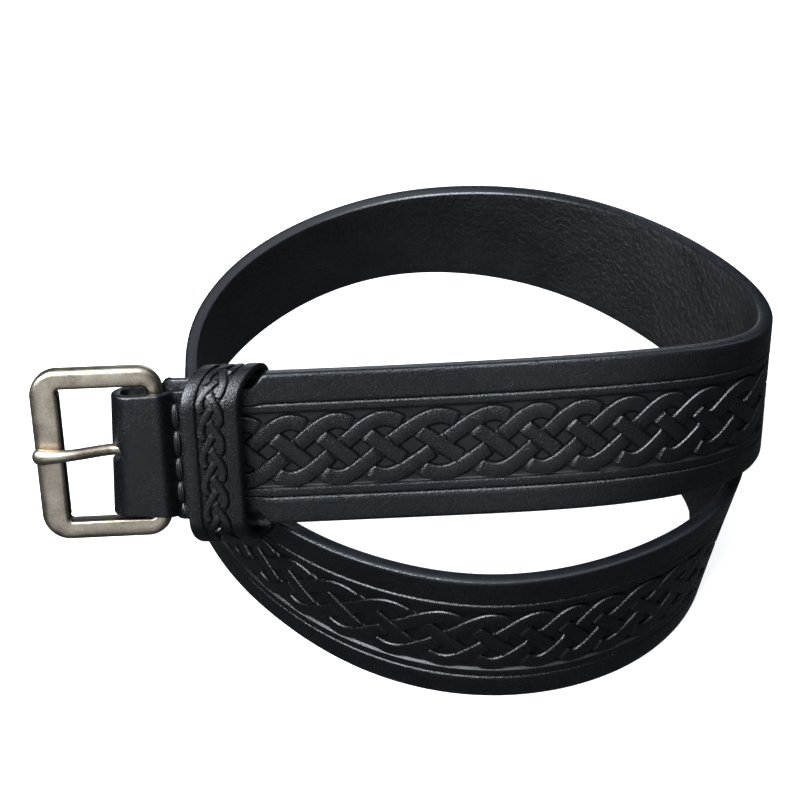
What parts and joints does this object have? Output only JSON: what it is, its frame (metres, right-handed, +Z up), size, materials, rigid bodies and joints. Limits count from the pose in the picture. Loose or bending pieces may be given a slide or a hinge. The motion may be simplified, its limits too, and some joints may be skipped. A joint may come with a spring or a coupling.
{
  "type": "kilt belt",
  "caption": "Wide leather kilt belt standing on edge in a loose coil, with an embossed plait, a leather keeper loop and a cast rectangular buckle with a turning tongue.",
  "frame": {"origin": "centre of the base of the coil's own box, on the surface it stands on", "axes": "+Z up across the standing strap, +X along the front of the coil from the buckle towards the first bend, +Y into the coil from the front"},
  "size_m": [0.2668, 0.2294, 0.123],
  "materials": {
    "strap_leather": "semi-gloss embossed black leather with painted edges",
    "keeper_leather": "semi-gloss embossed black leather with painted edges",
    "buckle_nickel": "antique nickel plate, satin and speckled",
    "tongue_nickel": "antique nickel plate, satin and speckled"
  },
  "bodies": {
    "belt": {"strap": "strap_leather", "keeper": "keeper_leather"},
    "frame": {"buckle_frame": "buckle_nickel"},
    "tongue": {"tongue": "tongue_nickel"}
  },
  "joints": [
    {"name": "frame_swing", "type": "hinge", "parent": "belt", "child": "frame", "pos_m": [-0.08974, -0.07719, 0.08815], "axis": [-0.0222, 0.3331, 0.9426], "range_deg": [-70, 0]},
    {"name": "tongue_lift", "type": "hinge", "parent": "belt", "child": "tongue", "pos_m": [-0.08974, -0.07719, 0.08815], "axis": [-0.0222, 0.3331, 0.9426], "range_deg": [0, 5]}
  ]
}
